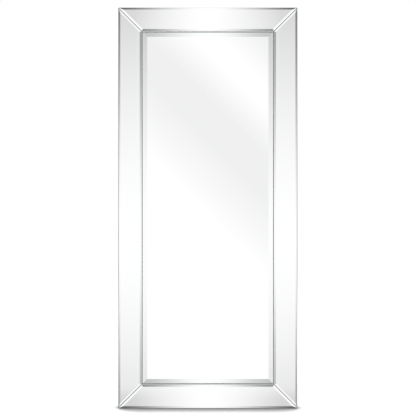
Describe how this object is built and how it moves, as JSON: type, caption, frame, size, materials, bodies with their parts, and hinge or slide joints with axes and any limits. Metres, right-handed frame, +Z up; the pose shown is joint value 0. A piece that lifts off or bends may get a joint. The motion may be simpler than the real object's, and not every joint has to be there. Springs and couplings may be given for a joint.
{
  "type": "bevelled wall mirror",
  "caption": "Tall rectangular wall mirror: a bevelled mirror set back in a mitred frame that is faced with bevelled mirror strips, with D-ring hangers behind.",
  "frame": {"origin": "on the wall plane that the four rubber bumpers touch, behind the middle of the mirror", "axes": "+Z up along the tall side, +X to the right as seen from the front, +Y towards the wall, so the mirror faces -Y"},
  "size_m": [0.61, 0.03, 1.364],
  "materials": {
    "mirror": "silvered float glass, polished bevels",
    "painted_wood": "satin silver-grey paint over pine",
    "hardboard": "brown pressed hardboard",
    "foam": "thin white polyethylene foam",
    "felt": "black pressed felt",
    "mirror_tape": "double-sided foam tape",
    "rubber": "matt black rubber",
    "zinc_steel": "bright zinc-plated steel",
    "nickel_wire": "nickel-plated steel wire"
  },
  "bodies": {
    "mirror": {"centre_mirror": "mirror", "foam_sheet": "foam", "back_panel": "hardboard", "back_panel_screws": "zinc_steel", "lip_felt": "felt", "setting_blocks": "rubber", "edge_shims": "rubber", "hanger_screws": "zinc_steel", "top_mirror_strip": "mirror", "top_strip_tape": "mirror_tape", "top_rail": "painted_wood", "right_mirror_strip": "mirror", "right_strip_tape": "mirror_tape", "right_stile": "painted_wood", "bottom_mirror_strip": "mirror", "bottom_strip_tape": "mirror_tape", "bottom_rail": "painted_wood", "left_mirror_strip": "mirror", "left_strip_tape": "mirror_tape", "left_stile": "painted_wood", "top_left_v_nails": "zinc_steel", "top_left_wall_bumper": "rubber", "top_right_v_nails": "zinc_steel", "top_right_wall_bumper": "rubber", "bottom_left_v_nails": "zinc_steel", "bottom_left_wall_bumper": "rubber", "bottom_right_v_nails": "zinc_steel", "bottom_right_wall_bumper": "rubber", "upright_left_hanger_strap": "zinc_steel", "upright_right_hanger_strap": "zinc_steel", "sideways_top_hanger_strap": "zinc_steel", "sideways_bottom_hanger_strap": "zinc_steel"},
    "upright_left_ring": {"upright_left_d_ring": "nickel_wire"},
    "upright_right_ring": {"upright_right_d_ring": "nickel_wire"},
    "sideways_top_ring": {"sideways_top_d_ring": "nickel_wire"},
    "sideways_bottom_ring": {"sideways_bottom_d_ring": "nickel_wire"}
  },
  "joints": [
    {"name": "upright_left_ring_swing", "type": "hinge", "parent": "mirror", "child": "upright_left_ring", "pos_m": [-0.27625, -0.00365, 0.382], "axis": [1, 0, 0], "range_deg": [0, 176]},
    {"name": "upright_right_ring_swing", "type": "hinge", "parent": "mirror", "child": "upright_right_ring", "pos_m": [0.27625, -0.00365, 0.382], "axis": [1, 0, 0], "range_deg": [0, 176]},
    {"name": "sideways_top_ring_swing", "type": "hinge", "parent": "mirror", "child": "sideways_top_ring", "pos_m": [-0.155, -0.00365, 0.65325], "axis": [0, 0, 1], "range_deg": [0, 176]},
    {"name": "sideways_bottom_ring_swing", "type": "hinge", "parent": "mirror", "child": "sideways_bottom_ring", "pos_m": [-0.155, -0.00365, -0.65325], "axis": [0, 0, 1], "range_deg": [0, 176]}
  ]
}
